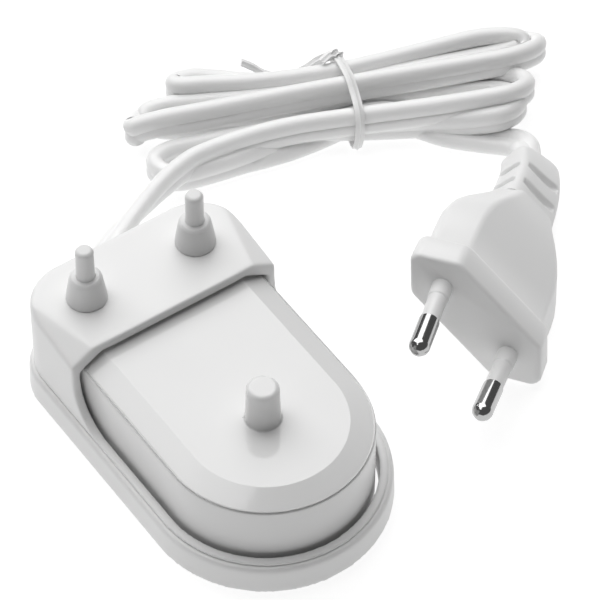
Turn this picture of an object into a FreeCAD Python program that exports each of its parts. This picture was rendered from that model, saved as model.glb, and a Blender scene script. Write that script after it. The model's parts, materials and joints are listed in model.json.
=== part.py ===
import FreeCAD, Part
import math
import os
import Sketcher

# Inductive toothbrush charger standing in a brush-head holder, with a flat twin mains cord
# folded into a tied hank and a flat two-pin plug.
# Frame: millimetres, +Z up, the round front of the charger faces -Y, the cord leaves at +Y.
# The origin is at the middle of the holder's footprint, on the surface it stands on.

Vector = FreeCAD.Vector
Rotation = FreeCAD.Rotation
Placement = FreeCAD.Placement

doc = FreeCAD.newDocument("charger_on_holder")

# ---------------------------------------------------------------- driving dimensions
sheet = doc.addObject("Spreadsheet::Sheet", "sizes")
driving = [
    # holder: D-shaped plan, a half round front and two rounded rear corners
    ("holder_half", 22.5), ("arc_back", 14.1), ("holder_rear", 36.6), ("holder_corner", 9.5),
    ("base_flare", 1.1), ("base_high", 6.3), ("base_round", 0.9),
    ("ring_wall", 1.8), ("ring_lip", 0.7), ("hood_wall", 1.6),
    ("hood_top", 23.3), ("shoulder_high", 18.2), ("hood_thick", 2.2), ("hood_front", 15.5),
    ("sweep_radius", 8.5), ("facet_start", 17.5), ("facet_spread", 5.105), ("facet_angle", 31.0),
    ("hood_round", 0.8),
    ("rib_thick", 1.4), ("rib_gap", 0.3), ("rib_bite", 0.4), ("rib_high", 4.5), ("rib_front", -8.0),
    ("rib_back", 22.0), ("slot_half", 5.2), ("slot_high", 8.6),
    # pegs for brush heads
    ("peg_apart", 24.0), ("peg_back", 26.7), ("peg_foot", 3.9), ("peg_shoulder", 3.1), ("peg_cone", 6.0),
    ("peg_pin", 1.74), ("peg_tall", 13.2), ("peg_spigot", 2.4),
    # charger
    ("charger_half", 20.0), ("charger_rear", 34.5), ("charger_corner", 8.0), ("parting_high", 18.4),
    ("deck_high", 20.4), ("bevel_wide", 4.7), ("charger_wall", 1.8), ("plate_thick", 1.8),
    ("plate_lift", 0.4), ("boss_radius", 1.9), ("parting_groove", 0.3), ("edge_round", 0.5),
    ("post_forward", 13.3), ("post_foot", 3.4), ("post_top", 3.05), ("post_tall", 8.8), ("post_bore", 2.3),
    ("post_round", 1.1), ("post_cap", 1.2), ("cover_thick", 1.5),
    # works inside the charger
    ("core_radius", 2.0), ("core_long", 14.5), ("bobbin_radius", 8.5), ("bobbin_high", 6.0),
    ("bobbin_hub", 3.4), ("bobbin_flange", 0.8), ("winding_radius", 7.6), ("play", 0.15),
    ("board_long", 26.0), ("board_wide", 31.0), ("board_thick", 1.6), ("board_high", 5.2), ("board_back", 16.0),
    ("boss_inset", 3.0), ("can_radius", 4.0), ("can_high", 9.0), ("film_wide", 10.0), ("film_deep", 5.0),
    ("film_high", 8.0), ("bridge_wide", 6.5), ("bridge_deep", 4.6), ("bridge_high", 2.6), ("switch_wide", 4.6),
    ("switch_deep", 3.6), ("switch_high", 5.0), ("fuse_radius", 1.6), ("fuse_high", 7.0),
    # cord and its gland
    ("cord_wide", 6.0), ("cord_thick", 3.5), ("gland_high", 4.1), ("gland_long", 3.7),
    ("gland_wide", 6.2), ("gland_tall", 3.6), ("gland_step", 0.6), ("gland_flange", 1.4), ("gland_lip", 1.2),
    ("wire_radius", 0.7), ("wire_apart", 2.8), ("wire_loop", 2.4),
    # plug
    ("plug_half", 17.7), ("plug_flat", 11.5), ("plug_end", 0.9), ("plug_thick", 13.2), ("flange_deep", 6.5),
    ("flange_step", 1.0), ("body_deep", 33.0), ("boot_long", 15.6), ("boot_wide", 12.6), ("boot_thick", 8.8),
    ("boot_core", 2.0), ("boot_round", 2.2), ("boot_bend", 22.0),
    ("pin_apart", 18.6), ("pin_tip_apart", 17.5), ("pin_radius", 2.0), ("pin_long", 19.0), ("pin_root", 9.0),
    ("face_thick", 1.5), ("carrier_back", 3.0), ("carrier_half", 13.0), ("carrier_deep", 3.0),
    ("sleeve_long", 10.0), ("sleeve_radius", 1.8), ("sleeve_core", 1.35),
    ("collar_long", 3.5), ("collar_radius", 2.0),
    ("plug_east", 48.5), ("plug_north", -12.2), ("plug_yaw", -60.0), ("plug_pitch", 42.4), ("plug_roll", 77.7),
    # hank and its tie
    ("hank_east", 64.0), ("hank_north", 52.0), ("hank_yaw", -23.5), ("hank_left", 44.0), ("hank_right", 42.0),
    ("hank_high", 10.4), ("hank_middle", 2.3), ("waist_half", 7.4), ("fan_half", 13.0),
    ("tie_wide", 2.4), ("tie_thick", 0.5),
]
for row, (alias, number) in enumerate(driving, start=1):
    sheet.set("A%d" % row, alias)
    sheet.set("B%d" % row, str(number))
    sheet.setAlias("B%d" % row, alias)
doc.recompute()


def size(expression):
    """The number that an expression on the sheet gives."""
    return float(sheet.evalExpression(expression))


names = [alias for alias, number in driving]


def on_sheet(expression):
    """Point each alias in an expression at the sheet."""
    out = []
    word = ""
    for letter in expression + " ":
        if letter.isalnum() or letter == "_":
            word += letter
            continue
        out.append("sizes." + word if word in names else word)
        out.append(letter)
        word = ""
    return "".join(out).strip()


# ---------------------------------------------------------------- sketch helpers
def new_body(label):
    body = doc.addObject("PartDesign::Body", label)
    body.Label = label
    return body


def new_sketch(body, role, name, lift="0", turn=None):
    """A sketch on one of the body's own origin planes, lifted along that plane's normal."""
    sketch = body.newObject("Sketcher::SketchObject", name)
    plane = [p for p in body.Origin.OriginFeatures if p.Role == role][0]
    sketch.AttachmentSupport = [(plane, "")]
    sketch.MapMode = "FlatFace"
    if turn is not None:
        sketch.AttachmentOffset = Placement(Vector(0, 0, 0), Rotation(Vector(0, 1, 0), size(turn)))
        sketch.setExpression("AttachmentOffset.Rotation.Angle", on_sheet(turn))
    sketch.setExpression("AttachmentOffset.Base.z", on_sheet(lift))
    return sketch


def dimension(sketch, name, kind, references, expression):
    number = sketch.addConstraint(Sketcher.Constraint(kind, *references, size(expression)))
    sketch.renameConstraint(number, name)
    sketch.setExpression("Constraints." + name, on_sheet(expression))


def polygon(sketch, corners):
    """A closed outline; each corner is a pair of expressions measured from the sketch origin."""
    points = [Vector(size(x), size(y), 0) for x, y in corners]
    count = len(points)
    for i in range(count):
        sketch.addGeometry(Part.LineSegment(points[i], points[(i + 1) % count]), False)
    for i in range(count):
        sketch.addConstraint(Sketcher.Constraint("Coincident", i, 2, (i + 1) % count, 1))
    for i, (x, y) in enumerate(corners):
        dimension(sketch, "across%d" % i, "DistanceX", (-1, 1, i, 1), x)
        dimension(sketch, "along%d" % i, "DistanceY", (-1, 1, i, 1), y)
    return sketch


def circle(sketch, x, y, radius):
    number = sketch.addGeometry(Part.Circle(Vector(size(x), size(y), 0), Vector(0, 0, 1), size(radius)), False)
    dimension(sketch, "across%d" % number, "DistanceX", (-1, 1, number, 3), x)
    dimension(sketch, "along%d" % number, "DistanceY", (-1, 1, number, 3), y)
    dimension(sketch, "radius%d" % number, "Radius", (number,), radius)


def d_outline(sketch, half, rear, corner):
    """Half round front about the arc centre, straight sides, flat rear with two round corners."""
    w, back, r, c = size(half), size(rear), size(corner), -size("arc_back")
    up = Vector(0, 0, 1)
    arcs = [
        Part.ArcOfCircle(Part.Circle(Vector(0, c, 0), up, w), math.pi, 2 * math.pi),
        Part.LineSegment(Vector(w, c, 0), Vector(w, back - r, 0)),
        Part.ArcOfCircle(Part.Circle(Vector(w - r, back - r, 0), up, r), 0, math.pi / 2),
        Part.LineSegment(Vector(w - r, back, 0), Vector(r - w, back, 0)),
        Part.ArcOfCircle(Part.Circle(Vector(r - w, back - r, 0), up, r), math.pi / 2, math.pi),
        Part.LineSegment(Vector(-w, back - r, 0), Vector(-w, c, 0)),
    ]
    for shape in arcs:
        sketch.addGeometry(shape, False)
    for i in range(6):
        sketch.addConstraint(Sketcher.Constraint("Tangent", i, 2, (i + 1) % 6, 1))
    sketch.addConstraint(Sketcher.Constraint("Vertical", 1))
    sketch.addConstraint(Sketcher.Constraint("Horizontal", 3))
    sketch.addConstraint(Sketcher.Constraint("Vertical", 5))
    sketch.addConstraint(Sketcher.Constraint("Equal", 2, 4))
    sketch.addConstraint(Sketcher.Constraint("PointOnObject", 0, 3, -2))
    dimension(sketch, "half_width", "Radius", (0,), half)
    dimension(sketch, "arc_centre", "DistanceY", (0, 3, -1, 1), "arc_back")
    dimension(sketch, "rear_edge", "DistanceY", (-1, 1, 3, 1), rear)
    dimension(sketch, "rear_corner", "Radius", (2,), corner)
    return sketch


def pad(body, name, sketch, length, draft=None):
    feature = body.newObject("PartDesign::Pad", name)
    feature.Profile = sketch
    feature.setExpression("Length", on_sheet(length))
    if draft is not None:
        feature.setExpression("TaperAngle", on_sheet(draft))
    doc.recompute()
    return feature


def pocket(body, name, sketch, length, along_normal=True, both_ways=False):
    """A cut; along_normal sends it the way the sketch plane faces."""
    feature = body.newObject("PartDesign::Pocket", name)
    feature.Profile = sketch
    feature.Reversed = along_normal
    feature.Midplane = both_ways
    feature.setExpression("Length", on_sheet(length))
    before = feature.BaseFeature.Shape.Volume
    doc.recompute()
    if feature.Shape.Volume > before - 0.01:
        raise RuntimeError(name + " cuts nothing")
    return feature


def loft(body, kind, name, first, others, ruled=True):
    feature = body.newObject("PartDesign::" + kind, name)
    feature.Profile = first
    feature.Sections = others
    feature.Ruled = ruled
    doc.recompute()
    return feature


def revolve(body, name, sketch, kind="Revolution"):
    feature = body.newObject("PartDesign::" + kind, name)
    feature.Profile = sketch
    feature.ReferenceAxis = (sketch, ["V_Axis"])
    feature.Angle = 360.0
    doc.recompute()
    return feature


def dress(body, kind, name, base, chosen, amount):
    """A fillet or chamfer on the base feature's edges that the test picks."""
    edges = ["Edge%d" % (i + 1) for i, edge in enumerate(base.Shape.Edges) if chosen(edge)]
    feature = body.newObject("PartDesign::" + kind, name)
    feature.Base = (base, edges)
    feature.setExpression("Radius" if kind == "Fillet" else "Size", on_sheet(amount))
    doc.recompute()
    return feature


def level(edge, height, slack=0.02):
    """True where the whole edge lies at one height."""
    box = edge.BoundBox
    return abs(box.ZMin - height) < slack and abs(box.ZMax - height) < slack


def outside(edge, half, rear):
    """True where the edge belongs to the outer outline rather than to a hollow inside it."""
    middle = edge.valueAt(0.5 * (edge.FirstParameter + edge.LastParameter))
    front = math.hypot(middle.x, middle.y + size("arc_back"))
    reach = front if middle.y < -size("arc_back") else abs(middle.x)
    return reach > half - 0.05 or middle.y > rear - size("holder_corner")


def primitive(kind, name, at=("0", "0", "0"), **dimensions):
    thing = doc.addObject("Part::" + kind, name)
    for key, expression in dimensions.items():
        thing.setExpression(key, on_sheet(expression))
    for axis, expression in zip("xyz", at):
        thing.setExpression("Placement.Base." + axis, on_sheet(expression))
    return thing


def block(name, wide, deep, high, x, y, z):
    """A box centred on x and y that stands on z; its lengths and places are expressions."""
    corner = ("(%s) - (%s) / 2" % (x, wide), "(%s) - (%s) / 2" % (y, deep), z)
    return primitive("Box", name, corner, Length=wide, Width=deep, Height=high)


def rod(name, radius, high, x, y, z):
    return primitive("Cylinder", name, (x, y, z), Radius=radius, Height=high)


def boolean(kind, label, *parts):
    if kind == "Cut":
        result = doc.addObject("Part::Cut", label)
        result.Base, result.Tool = parts
    else:
        result = doc.addObject("Part::MultiFuse", label)
        result.Shapes = list(parts)
    result.Label = label
    return result


pieces = []


def keep(thing):
    """Note a finished sub-part; its Label names its file."""
    pieces.append(thing)
    return thing


def smooth_path(points):
    """Straight runs joined by tangent arcs, each as large as its two runs allow."""
    edges, radii, start = [], [], points[0]
    for before, corner, after in zip(points, points[1:], points[2:]):
        come, leave = (corner - before), (after - corner)
        shorter = min(come.Length, leave.Length)
        come.normalize()
        leave.normalize()
        turn = come.getAngle(leave)
        reach = 0.45 * shorter
        radii.append(reach / math.tan(turn / 2))
        first, last = corner - come * reach, corner + leave * reach
        inward = (leave - come).normalize()
        middle = corner + inward * (radii[-1] / math.cos(turn / 2) - radii[-1])
        edges.append(Part.LineSegment(start, first).toShape())
        edges.append(Part.Arc(first, middle, last).toShape())
        start = last
    edges.append(Part.LineSegment(start, points[-1]).toShape())
    return Part.Wire(edges), radii


# ---------------------------------------------------------------- charger casing
inner_half = "charger_half - charger_wall"
inner_rear = "charger_rear - charger_wall"
inner_corner = "charger_corner - charger_wall"


def make_housing():
    """The tub under the parting line, open at the top and bottom, notched for the gland."""
    body = new_body("charger_housing")
    outline = d_outline(new_sketch(body, "XY_Plane", "housing_outline"), "charger_half", "charger_rear",
                        "charger_corner")
    pad(body, "housing_wall", outline, "parting_high")
    hollow = d_outline(new_sketch(body, "XY_Plane", "housing_hollow", "-1"), inner_half, inner_rear,
                       inner_corner)
    pocket(body, "housing_inside", hollow, "parting_high + 2")
    notch = new_sketch(body, "XZ_Plane", "gland_notch", "-(charger_rear + 1)")
    polygon(notch, [("-gland_wide / 2", "gland_high - gland_tall / 2"),
                    ("gland_wide / 2", "gland_high - gland_tall / 2"),
                    ("gland_wide / 2", "gland_high + gland_tall / 2"),
                    ("-gland_wide / 2", "gland_high + gland_tall / 2")])
    cut = pocket(body, "gland_hole", notch, "charger_wall + 2")
    top = size("parting_high")
    half, rear = size("charger_half"), size("charger_rear")
    rounded = dress(body, "Chamfer", "housing_groove", cut,
                    lambda e: level(e, top) and outside(e, half, rear - 0.01) and e.Length > 1, "parting_groove")
    dress(body, "Fillet", "housing_foot", rounded,
          lambda e: level(e, 0) and outside(e, half, rear - 0.01) and e.Length > 1, "edge_round")
    return keep(body)


def make_cover():
    """The glossy cover: a flat deck inside a sloping bevel, with the hollow charging post."""
    body = new_body("charger_top_cover")
    low = d_outline(new_sketch(body, "XY_Plane", "cover_low", "parting_high"), "charger_half", "charger_rear",
                    "charger_corner")
    deck = d_outline(new_sketch(body, "XY_Plane", "cover_deck", "deck_high"), "charger_half - bevel_wide",
                     "charger_rear - bevel_wide", "charger_corner - bevel_wide")
    loft(body, "AdditiveLoft", "cover_shell", low, [deck])
    under = "charger_wall + parting_groove"
    low_in = d_outline(new_sketch(body, "XY_Plane", "cover_hollow_low", "parting_high - 0.01"),
                       "charger_half - (%s)" % under, "charger_rear - (%s)" % under,
                       "charger_corner - (%s)" % under)
    top_in = d_outline(new_sketch(body, "XY_Plane", "cover_hollow_top", "deck_high - cover_thick"),
                       "charger_half - (%s) - 1.2" % under, "charger_rear - (%s) - 1.2" % under,
                       "charger_corner - (%s) - 1.2" % under)
    loft(body, "SubtractiveLoft", "cover_inside", low_in, [top_in])
    foot = circle_sketch(body, "post_foot_ring", "deck_high - 1", "0", "-post_forward", "post_foot")
    tip = circle_sketch(body, "post_top_ring", "deck_high + post_tall", "0", "-post_forward", "post_top")
    post = loft(body, "AdditiveLoft", "charging_post", foot, [tip])
    height = size("deck_high + post_tall")
    dress(body, "Fillet", "post_crown", post, lambda e: level(e, height), "post_round")
    bore = circle_sketch(body, "post_bore_ring", "parting_high", "0", "-post_forward", "post_bore")
    hole = pocket(body, "post_hollow", bore, "deck_high - parting_high + post_tall - post_cap")
    low_z = size("parting_high")
    half, rear = size("charger_half"), size("charger_rear")
    groove = dress(body, "Chamfer", "cover_groove", hole,
                   lambda e: level(e, low_z) and outside(e, half, rear - 0.01), "parting_groove")
    deck_z = size("deck_high")
    dress(body, "Fillet", "deck_crease", groove,
          lambda e: level(e, deck_z) and math.hypot(e.CenterOfMass.x, e.CenterOfMass.y + size("post_forward"))
          > 2.0 and e.Length > 0.5 and not round_post(e), "edge_round")
    return keep(body)


def circle_sketch(body, name, lift, x, y, radius):
    sketch = new_sketch(body, "XY_Plane", name, lift)
    circle(sketch, x, y, radius)
    return sketch


def round_post(edge):
    box = edge.BoundBox
    return box.XLength < 2.2 * size("post_foot") and abs(box.Center.y + size("post_forward")) < 0.5


def make_plate():
    """The bottom plate, welded inside the tub."""
    body = new_body("charger_bottom_plate")
    inset = "charger_wall + 0.1"
    outline = d_outline(new_sketch(body, "XY_Plane", "plate_outline", "plate_lift"),
                        "charger_half - (%s)" % inset, "charger_rear - (%s)" % inset,
                        "charger_corner - (%s)" % inset)
    pad(body, "plate", outline, "plate_thick")
    bosses = new_sketch(body, "XY_Plane", "board_bosses", "plate_lift + plate_thick")
    for across in ["board_wide / 2 - boss_inset", "boss_inset - board_wide / 2"]:
        for along in ["board_back - board_long / 2 + boss_inset", "board_back + board_long / 2 - boss_inset"]:
            circle(bosses, across, along, "boss_radius")
    pad(body, "bosses", bosses, "board_high - plate_lift - plate_thick")
    return keep(body)


make_cover()
make_housing()
make_plate()

# ---------------------------------------------------------------- works inside the charger
bobbin_base = "deck_high - cover_thick - bobbin_high"
core_base = "deck_high + post_tall - post_cap - core_long"


def make_works():
    """Coil about the post, and the small board behind it."""
    keep(rod("ferrite_core", "core_radius", "core_long", "0", "-post_forward", core_base))
    body = new_body("coil_bobbin")
    outer = "bobbin_radius"
    profile = new_sketch(body, "XZ_Plane", "bobbin_profile")
    polygon(profile, [("core_radius + play", bobbin_base), (outer, bobbin_base),
                      (outer, "%s + bobbin_flange" % bobbin_base),
                      ("bobbin_hub", "%s + bobbin_flange" % bobbin_base),
                      ("bobbin_hub", "%s + bobbin_high - bobbin_flange" % bobbin_base),
                      (outer, "%s + bobbin_high - bobbin_flange" % bobbin_base),
                      (outer, "%s + bobbin_high" % bobbin_base),
                      ("core_radius + play", "%s + bobbin_high" % bobbin_base)])
    revolve(body, "bobbin_spool", profile)
    body.setExpression("Placement.Base.y", on_sheet("-post_forward"))
    keep(body)
    winding_high = "bobbin_high - 2 * bobbin_flange"
    at = ("0", "-post_forward", "%s + bobbin_flange" % bobbin_base)
    outside_turns = primitive("Cylinder", "winding_outside", at, Radius="winding_radius", Height=winding_high)
    inside_turns = primitive("Cylinder", "winding_inside", at, Radius="bobbin_hub", Height=winding_high)
    keep(boolean("Cut", "coil_winding", outside_turns, inside_turns))
    keep(block("circuit_board", "board_wide", "board_long", "board_thick", "0", "board_back", "board_high"))
    top = "board_high + board_thick"
    # where each component stands on the board, from the board's middle
    keep(rod("smoothing_capacitor", "can_radius", "can_high", "-8.5", "board_back + 6.5", top))
    keep(block("film_capacitor", "film_wide", "film_deep", "film_high", "6.5", "board_back - 6", top))
    keep(block("bridge_rectifier", "bridge_wide", "bridge_deep", "bridge_high", "8.0", "board_back + 7", top))
    keep(block("switching_transistor", "switch_wide", "switch_deep", "switch_high", "-9.5",
               "board_back - 5", top))
    keep(rod("fusible_resistor", "fuse_radius", "fuse_high", "1.0", "board_back + 4", top))


make_works()


def make_gland():
    """Flange inside the wall, neck through it and a short tapered nose round the cord."""
    wall_in = "charger_rear - charger_wall"
    body = new_body("cord_grommet")
    low, high = "gland_high - gland_tall / 2", "gland_high + gland_tall / 2"

    def rectangle(name, back, more):
        sketch = new_sketch(body, "XZ_Plane", name, "-(%s)" % back)
        wide = "(gland_wide / 2 + %s)" % more
        polygon(sketch, [("-" + wide, low + " - " + more), (wide, low + " - " + more),
                         (wide, high + " + " + more), ("-" + wide, high + " + " + more)])
        return sketch

    neck = rectangle("gland_neck", "%s - gland_flange" % wall_in, "0")
    nose_root = rectangle("nose_root", "charger_rear", "gland_step")
    nose_tip = rectangle("nose_tip", "charger_rear + gland_long", "0.1")
    pad(body, "neck", neck, "gland_flange + charger_wall").Reversed = True
    loft(body, "AdditiveLoft", "nose", nose_root, [nose_tip])
    flange = new_sketch(body, "XZ_Plane", "gland_flange_outline", "-(%s - gland_flange)" % wall_in)
    side = "(gland_wide / 2 + gland_lip)"
    polygon(flange, [("-" + side, "plate_lift + plate_thick + play"), (side, "plate_lift + plate_thick + play"),
                     (side, high + " + gland_lip"), ("-" + side, high + " + gland_lip")])
    pad(body, "flange_plate", flange, "gland_flange").Reversed = True
    doc.recompute()
    return keep(body)


def make_wires():
    """The two cores of the cord, from the gland's inner end down to the board."""
    radius = size("wire_radius")
    inner_end = size("charger_rear - charger_wall - gland_flange")
    board_edge = size("board_back + board_long / 2 - 2.5")
    height, top = size("gland_high + 2.0"), size("board_high + board_thick")
    loop_high = top + size("wire_loop")
    wires = []
    for side in (-1, 1):
        x = side * size("wire_apart") / 2
        start, end = Vector(x, inner_end, height), Vector(x, board_edge, top)
        corners = [Vector(x, inner_end - 1.0, height), Vector(x, inner_end - 2.4, loop_high),
                   Vector(x, board_edge, loop_high)]
        path = smooth_path([start] + corners + [end])[0]
        ring = Part.Wire(Part.makeCircle(radius, start, path.Edges[0].tangentAt(0)))
        tube = path.makePipeShell([ring], True, False)
        wires.append(tube)
    feature = doc.addObject("Part::Feature", "lead_wires")
    feature.Shape = Part.makeCompound(wires)
    feature.Label = "lead_wires"
    return keep(feature)


# ---------------------------------------------------------------- holder
def make_base():
    """The lower ring of the holder, drafted and rounded at the top, open for the charger."""
    body = new_body("holder_base")
    half = "holder_half + base_flare"
    rear = "holder_rear + base_flare"
    outline = d_outline(new_sketch(body, "XY_Plane", "base_outline"), half, rear, "holder_corner + base_flare")
    wall = pad(body, "base_wall_ring", outline, "base_high", "-atan((base_flare - 0.9) / base_high)")
    top = size("base_high")
    dress(body, "Fillet", "base_crown", wall, lambda e: level(e, top), "base_round")
    hollow = d_outline(new_sketch(body, "XY_Plane", "base_hollow", "-1"), "holder_half - ring_wall",
                       "holder_rear - hood_wall", "holder_corner - hood_wall")
    pocket(body, "base_inside", hollow, "base_high + 2")
    slot = new_sketch(body, "XZ_Plane", "base_slot", "-(holder_rear + base_flare + 1)")
    polygon(slot, [("-slot_half", "-1"), ("slot_half", "-1"), ("slot_half", "base_high + 1"),
                   ("-slot_half", "base_high + 1")])
    pocket(body, "base_cord_slot", slot, "base_flare + hood_wall + 2")
    rib_inner = "charger_half + rib_gap"
    rib_outer = "holder_half - ring_wall + rib_bite"
    spots = [(side, place) for side in (1, -1) for place in ("rib_front", "rib_back")]
    for index, (side, place) in enumerate(spots):
        rib = new_sketch(body, "XY_Plane", "rib_outline%d" % index, "0")
        near, far = ("(%s)" % rib_inner, "(%s)" % rib_outer)
        sign = "" if side > 0 else "-1 * "
        polygon(rib, [(sign + near, place), (sign + far, place), (sign + far, "%s + rib_thick" % place),
                      (sign + near, "%s + rib_thick" % place)])
        pad(body, "rib%d" % index, rib, "rib_high")
    return keep(body)


def make_frame():
    """Hood over the rear of the charger, sweeping down into a thin ring round its front."""
    body = new_body("holder_frame")
    outline = d_outline(new_sketch(body, "XY_Plane", "frame_outline", "base_high"), "holder_half", "holder_rear",
                        "holder_corner")
    pad(body, "frame_block", outline, "hood_top - base_high")
    swing = "atan(facet_spread / (holder_rear - hood_front))"
    for index, turn in enumerate(["-" + swing, swing]):
        facet = new_sketch(body, "XZ_Plane", "facet_outline%d" % index, "0", turn)
        crease = "(facet_start * cos(%s) - hood_front * sin(%s))" % (swing, swing)
        sign = "" if index == 0 else "-1 * "
        fall = "tan(facet_angle)"
        polygon(facet, [("%s(%s - 3)" % (sign, crease), "hood_top + 3 * %s" % fall),
                        ("%s(%s + 14)" % (sign, crease), "hood_top - 14 * %s" % fall),
                        ("%s(%s + 14)" % (sign, crease), "hood_top + 6"),
                        ("%s(%s - 3)" % (sign, crease), "hood_top + 6")])
        pocket(body, "facet%d" % index, facet, "4 * holder_rear", both_ways=True)
    sweep = new_sketch(body, "YZ_Plane", "sweep_outline")
    radius, front, lip = size("sweep_radius"), size("hood_front"), size("base_high + ring_lip")
    corner = Vector(front - radius, lip + radius, 0)
    reach, above = -60.0, size("hood_top") + 5
    shapes = [
        Part.LineSegment(Vector(front, above, 0), Vector(front, lip + radius, 0)),
        Part.ArcOfCircle(Part.Circle(corner, Vector(0, 0, 1), radius), -math.pi / 2, 0),
        Part.LineSegment(Vector(front - radius, lip, 0), Vector(reach, lip, 0)),
        Part.LineSegment(Vector(reach, lip, 0), Vector(reach, above, 0)),
        Part.LineSegment(Vector(reach, above, 0), Vector(front, above, 0)),
    ]
    for shape in shapes:
        sweep.addGeometry(shape, False)
    sweep.addConstraint(Sketcher.Constraint("Tangent", 0, 2, 1, 2))
    sweep.addConstraint(Sketcher.Constraint("Tangent", 1, 1, 2, 1))
    sweep.addConstraint(Sketcher.Constraint("Coincident", 2, 2, 3, 1))
    sweep.addConstraint(Sketcher.Constraint("Coincident", 3, 2, 4, 1))
    sweep.addConstraint(Sketcher.Constraint("Coincident", 4, 2, 0, 1))
    sweep.addConstraint(Sketcher.Constraint("Vertical", 0))
    sweep.addConstraint(Sketcher.Constraint("Horizontal", 2))
    sweep.addConstraint(Sketcher.Constraint("Vertical", 3))
    sweep.addConstraint(Sketcher.Constraint("Horizontal", 4))
    dimension(sweep, "front_edge", "DistanceX", (-1, 1, 0, 1), "hood_front")
    dimension(sweep, "above_hood", "DistanceY", (-1, 1, 0, 1), "hood_top + 5")
    dimension(sweep, "sweep", "Radius", (1,), "sweep_radius")
    dimension(sweep, "lip_height", "DistanceY", (-1, 1, 2, 1), "base_high + ring_lip")
    dimension(sweep, "past_front", "DistanceX", (3, 1, -1, 1), "arc_back + holder_half + 20")
    opened = pocket(body, "front_opening", sweep, "4 * holder_half", both_ways=True)
    front_y = size("hood_front")
    dress(body, "Fillet", "hood_crown", opened,
                  lambda e: e.BoundBox.ZMin > size("base_high") + 8 and e.BoundBox.YMax > front_y + 0.1
                  and e.BoundBox.ZMax - e.BoundBox.ZMin < 6.0, "hood_round")
    ring = d_outline(new_sketch(body, "XY_Plane", "ring_hollow", "base_high - 1"), "holder_half - ring_wall",
                     "holder_rear - hood_wall", "holder_corner - hood_wall")
    pocket(body, "frame_inside", ring, "shoulder_high - base_high + 1")
    under_low = d_outline(new_sketch(body, "XY_Plane", "hood_hollow_low", "shoulder_high - 0.01"),
                          "charger_half + 0.9", "charger_rear + 0.8", "charger_corner + 0.2")
    under_top = d_outline(new_sketch(body, "XY_Plane", "hood_hollow_top", "hood_top - hood_thick"),
                          "charger_half + 0.7 - bevel_wide", "charger_rear + 1.1 - bevel_wide",
                          "charger_corner - bevel_wide")
    loft(body, "SubtractiveLoft", "hood_inside", under_low, [under_top])
    slot = new_sketch(body, "XZ_Plane", "frame_slot", "-(holder_rear + 1)")
    polygon(slot, [("-slot_half", "base_high - 1"), ("slot_half", "base_high - 1"), ("slot_half", "slot_high"),
                   ("-slot_half", "slot_high")])
    pocket(body, "frame_cord_slot", slot, "hood_wall + 2")
    holes = new_sketch(body, "XY_Plane", "peg_holes", "hood_top - hood_thick - 1")
    circle(holes, "peg_apart / 2", "peg_back", "peg_spigot")
    circle(holes, "-peg_apart / 2", "peg_back", "peg_spigot")
    pocket(body, "peg_sockets", holes, "hood_thick + 2")
    return keep(body)


def make_peg(label, side):
    """A stepped peg: spigot in the hood, cone, thin pin with a domed tip."""
    body = new_body(label)
    profile = new_sketch(body, "XZ_Plane", label + "_profile")
    foot = "hood_top"
    polygon(profile, [("0", "hood_top - hood_thick"), ("peg_spigot", "hood_top - hood_thick"),
                      ("peg_spigot", foot), ("peg_foot", foot), ("peg_foot - 0.15", foot + " + 1.4"),
                      ("peg_shoulder", foot + " + peg_cone - 0.5"), ("peg_shoulder - 0.5", foot + " + peg_cone"),
                      ("peg_pin", foot + " + peg_cone"), ("peg_pin", foot + " + peg_tall - 0.8"),
                      ("peg_pin - 0.25", foot + " + peg_tall - 0.25"), ("peg_pin - 0.8", foot + " + peg_tall"),
                      ("0", foot + " + peg_tall")])
    revolve(body, label + "_turned", profile)
    body.setExpression("Placement.Base.x", on_sheet("%s * peg_apart / 2" % side))
    body.setExpression("Placement.Base.y", on_sheet("peg_back"))
    return keep(body)


make_base()
make_frame()
make_peg("head_post_left", "-1")
make_peg("head_post_right", "1")


# ---------------------------------------------------------------- plug
# The plug's own frame: X from pin to pin, Y through its thickness, Z out of the face along the pins.
def hexagon(sketch, half, flat, thick):
    """The plug's section: two long flats and two pointed ends with small end flats."""
    end = "plug_end"
    y = "(%s) / 2" % thick
    polygon(sketch, [("-(%s)" % flat, y), ("-(%s)" % half, end), ("-(%s)" % half, "-" + end),
                     ("-(%s)" % flat, "-" + y), (flat, "-" + y), (half, "-" + end), (half, end), (flat, y)])
    return sketch


def hexagon_at(body, name, depth, half, flat, thick):
    return hexagon(new_sketch(body, "XY_Plane", name, "-(%s)" % depth), half, flat, thick)


plug_turn = Rotation(size("plug_yaw"), size("plug_pitch"), size("plug_roll"))
carrier_corners = [("-carrier_half", "-carrier_deep"), ("carrier_half", "-carrier_deep"),
                   ("carrier_half", "carrier_deep"), ("-carrier_half", "carrier_deep")]


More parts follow.
